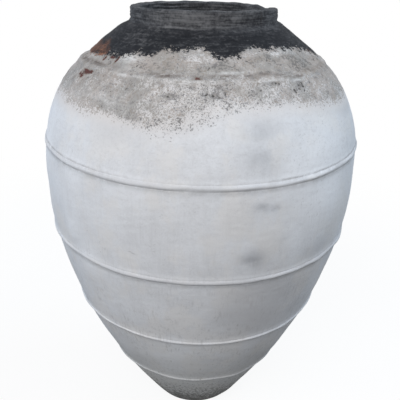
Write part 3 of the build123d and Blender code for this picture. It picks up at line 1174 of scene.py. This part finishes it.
def worn_over(place, limed):
    """The limewash with its worn part: ground, chalk, dark grains, the band's lines, pits and flakes."""
    cover = mark(place, "cover")
    soot = mark(place, "soot")
    chalk = (clumped_grains(place, 0.035, 0.25) + 0.6 * (cover - 0.5)).between(0.44, 0.55)
    dust = Coat(CHALK_DUSTY, 0.95, limed.relief + 0.5 * MM)
    dusty = lay(limed, dust, 0.85 * cover.between(1.0, 0.55))
    coat = lay(worn_ground(place, soot), dusty, chalk)
    grains = (clumped_grains(place, 0.026, 0.35) + 0.5 * (soot - 0.5)).between(0.53, 0.61)
    # Grime and painted shade that dull the ground.
    grime_and_shade = mark(place, "grime_and_shade") * place.cloud(0.02, detail=5).between(0.25, 0.65)
    tone = (0.5 * grime_and_shade).tint(coat.colour, GROUND_DULL)
    tone = ((0.8 - 0.35 * cover.between(0.6, 1.0)) * grains).tint(tone, GRAIN_DARK)

    ragged = place.stretched(1, 1, 3).cloud(0.02, detail=6, roughness=0.7)
    # Pale lines along the shoulder band's crest, partly chalk and partly painted highlight.
    tone = (0.75 * mark(place, "chalk_and_highlight") * ragged.between(0.36, 0.56)).tint(tone, LINE_CHALK_AND_HIGHLIGHT)
    # Painted shade and dirt in the creases and corners.
    tone = (0.8 * mark(place, "corner") * ragged.between(0.66, 0.42)).tint(tone, CORNER_SHADE_BROWN)
    # Painted shade in the pits.
    pit_shade = mark(place, "pit") * (3.4 * place.cloud(0.005, detail=4) - 0.8)
    tone = pit_shade.between(0.25, 0.75).tint(tone, PIT_SHADE_DARK)
    splinters = place.stretched(0.6, 0.6, 1.5).cloud(0.006, detail=5, roughness=0.75)
    flake = splinters.between(0.42, 0.60).tint(FLAKE_BROWN, FLAKE_RED)
    peeled = mark(place, "flake") * (3 * splinters - 0.5)
    tone = (0.6 * peeled.between(0.12, 0.50)).tint(tone, GROUND_DULL)
    tone = peeled.between(0.46, 0.70).tint(tone, flake)
    return Coat(tone, coat.rough, coat.relief - 0.5 * MM * grains)


def weathered(place):
    return worn_over(place, limewash(place))


finish("weathered_limewash", weathered)

# %% [markdown]
# ### Black wash
#
# The neck and shoulder were brushed with a black wash. It is deep on the shoulder and rubbed to grey on the
# neck, with marks of the brush running round. A straight edge between two materials would look cut out, so
# its ragged lower edge is a mask inside one finish. At the left it has come away from the clay.

# %% Black wash
WASH_BLACK = colour(0.009, 0.0098, 0.0125)
WASH_WORN = colour(0.025, 0.0255, 0.029)
WASH_GREY = colour(0.165, 0.165, 0.17)
CLAY_SMOKED = colour(0.05, 0.036, 0.03)
NECK_STARTS = (1.246, 1.268)
BLACK_STARTS = (-2 * MM, 3 * MM)


def black_wash(place):
    on_neck = place.height().between(*NECK_STARTS)
    brushed = place.stretched(1, 1, 9).cloud(0.05, detail=6, roughness=0.65)
    rubbed = place.cloud(0.04, detail=6, roughness=0.65)
    thin = (0.5 * brushed + 0.5 * rubbed + 0.16 * on_neck).between(0.42, 0.68)
    streaks = place.stretched(1, 1, 14).cloud(0.07, detail=5, roughness=0.65)
    dusty = 0.5 * streaks + 0.25 * place.cloud(0.02, detail=4) + 0.25 * place.cloud(0.006, detail=3)
    # Grey rubbed spots, and painted highlight on the light lines round the foot of the neck.
    rubbed_and_lit_spot = mark(place, "rubbed") * (0.4 + place.cloud(0.01, detail=5))
    dusty = (dusty + 0.105 * on_neck + 0.16 * rubbed_and_lit_spot).between(0.50, 0.82)
    scuffed = place.stretched(1, 1, 3).cloud(0.022, detail=5, roughness=0.7).between(0.50, 0.70)
    tone = (dusty | 0.26 * scuffed).tint(thin.tint(WASH_BLACK, WASH_WORN), WASH_GREY)
    # Painted shade in the pits of the black wash.
    tone = mark(place, "pit").between(0.2, 0.6).tint(tone, WASH_BLACK)
    return Coat(tone, 0.9, 0.4 * MM * brushed + 0.3 * MM * place.cloud(0.008))


def black_over(place, under):
    """The black wash above its ragged edge, with the bare spots left open."""
    drips = place.stretched(1, 1, 1.4).cloud(0.011, detail=6, roughness=0.75)
    edge = mark(place, "above_black") + 0.065 * (drips - 0.5) + 0.016 * (place.cloud(0.006) - 0.5)
    bare = mark(place, "bare") + 1.3 * (place.cloud(0.02, detail=6, roughness=0.75) - 0.5)
    smoke = place.stretched(1, 1, 0.6).cloud(0.014, detail=5, roughness=0.7).between(0.40, 0.60)
    clay = fired_clay(place)
    clay = lay(clay, Coat(CLAY_SMOKED, 0.92, clay.relief), 0.52 * smoke)
    clay = lay(under, clay, bare.between(0.32, 0.48))
    mask = edge.between(*BLACK_STARTS) * (1 - 0.8 * bare.between(0.36, 0.95))
    return lay(clay, black_wash(place), mask)


def blackened(place):
    return black_over(place, weathered(place))


finish("blackened_clay", blackened)

# %% [markdown]
# ## Setting the rings
#
# Every ring now takes its place: its mesh is turned, its finish is the one that the record names for the
# node, it is hung on the root body, and the CAD part of its node is hidden.

# %% Rings in place
slots = {part["node"]: part["material_slot"] for part in frame["record"]["subparts"]}
for name in frame["nodes"]:
    ring = bpy.data.objects.new(name + "_skin", turned(name))
    scene.collection.objects.link(ring)
    ring.data.materials.append(finishes[slots[name]])
    ring.data.materials.append(finishes["bare_clay"])
    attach(ring, "root")
    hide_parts(name)
    print(f"{ring.name}: {len(ring.data.polygons)} faces")
